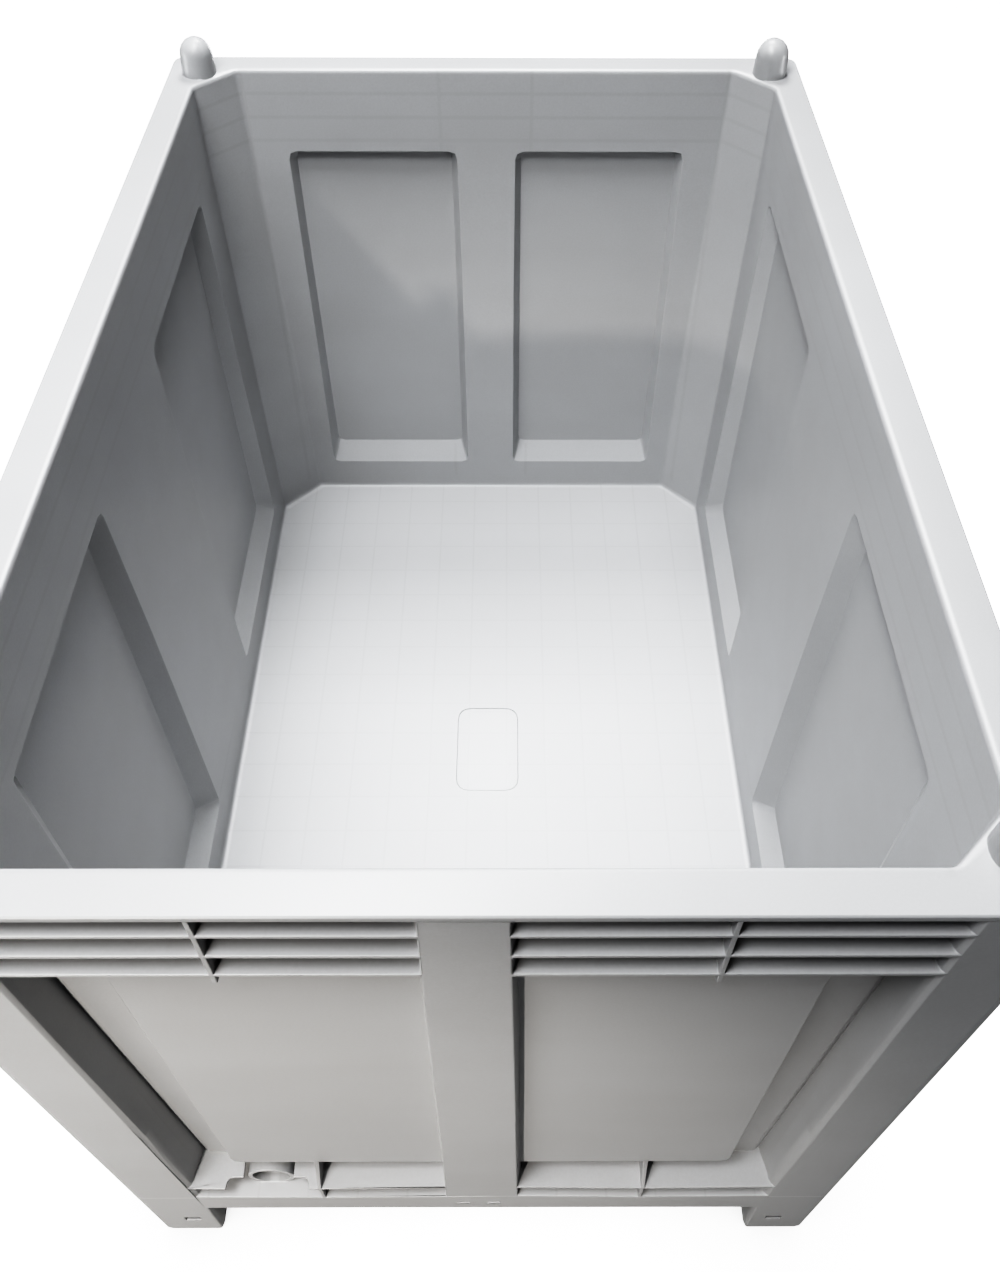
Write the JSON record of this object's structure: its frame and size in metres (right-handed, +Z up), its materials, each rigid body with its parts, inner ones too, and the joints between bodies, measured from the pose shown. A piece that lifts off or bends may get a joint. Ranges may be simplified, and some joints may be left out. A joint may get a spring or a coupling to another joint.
{
  "type": "pallet box",
  "caption": "Rectangular open-top plastic pallet box with ribbed walls, bulged wall panels, hollow corner feet for fork entry and domed stacking knobs on the rim.",
  "frame": {"origin": "middle of the footprint on the ground, at the level of the feet's soles", "axes": "+X across the short sides, +Y along the long sides, +Z up; the short side with the blind outlet boss faces -Y"},
  "size_m": [0.8, 1.2, 0.8925],
  "materials": {
    "polyethylene": "light grey moulded polyethylene, satin"
  },
  "bodies": {
    "root": {"box_body": "polyethylene"}
  },
  "joints": []
}
